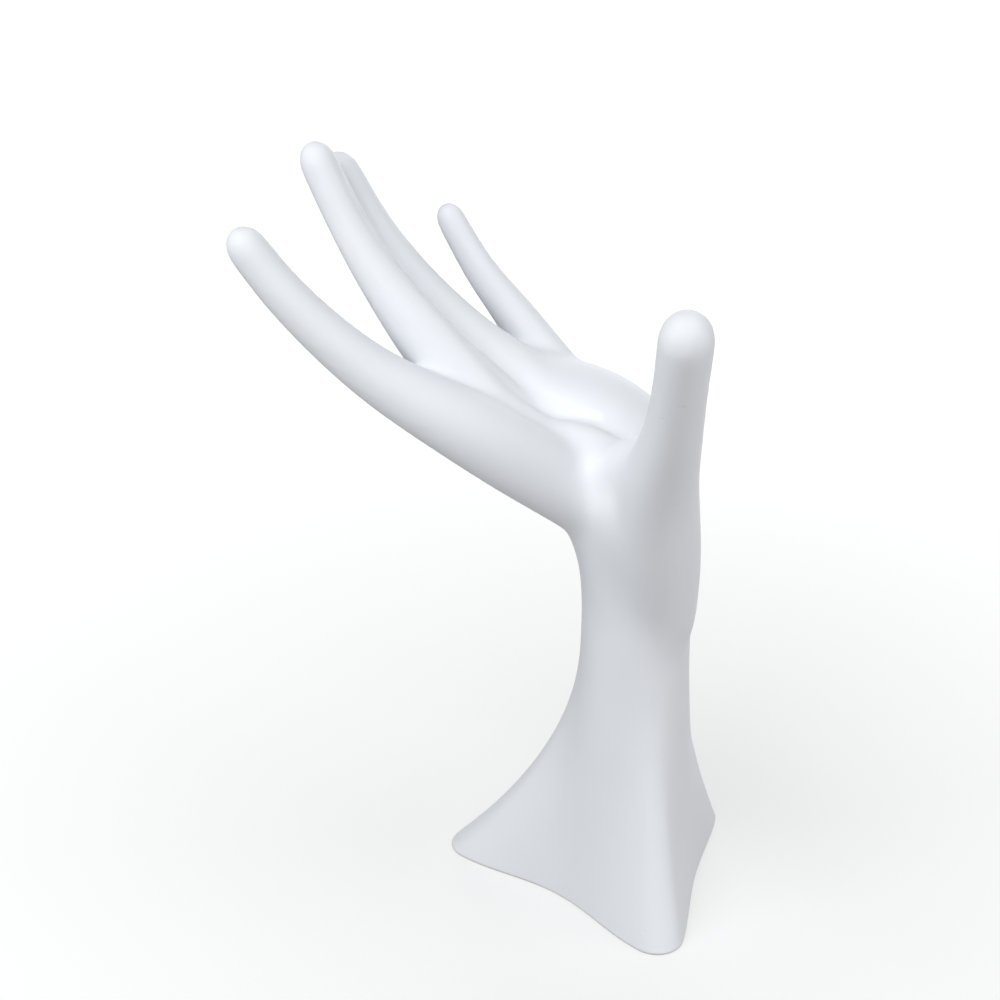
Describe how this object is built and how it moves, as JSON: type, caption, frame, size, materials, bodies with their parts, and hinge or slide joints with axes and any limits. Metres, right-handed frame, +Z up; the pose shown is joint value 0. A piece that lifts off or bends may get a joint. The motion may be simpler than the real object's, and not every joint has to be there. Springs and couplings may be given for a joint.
{
  "type": "hand jewellery stand",
  "caption": "Matt white cast left hand on a slim forearm that flares to a three-cornered foot, for showing rings and bracelets.",
  "frame": {"origin": "middle of the foot, on the surface that the stand rests on", "axes": "+Z up along the forearm; the fingers reach towards -X, the palm faces +X and up, and the index finger is on the -Y side"},
  "size_m": [0.1161, 0.0869, 0.202],
  "materials": {
    "resin": "smooth matt white cast resin"
  },
  "bodies": {
    "root": {"hand_form": "resin"}
  },
  "joints": []
}
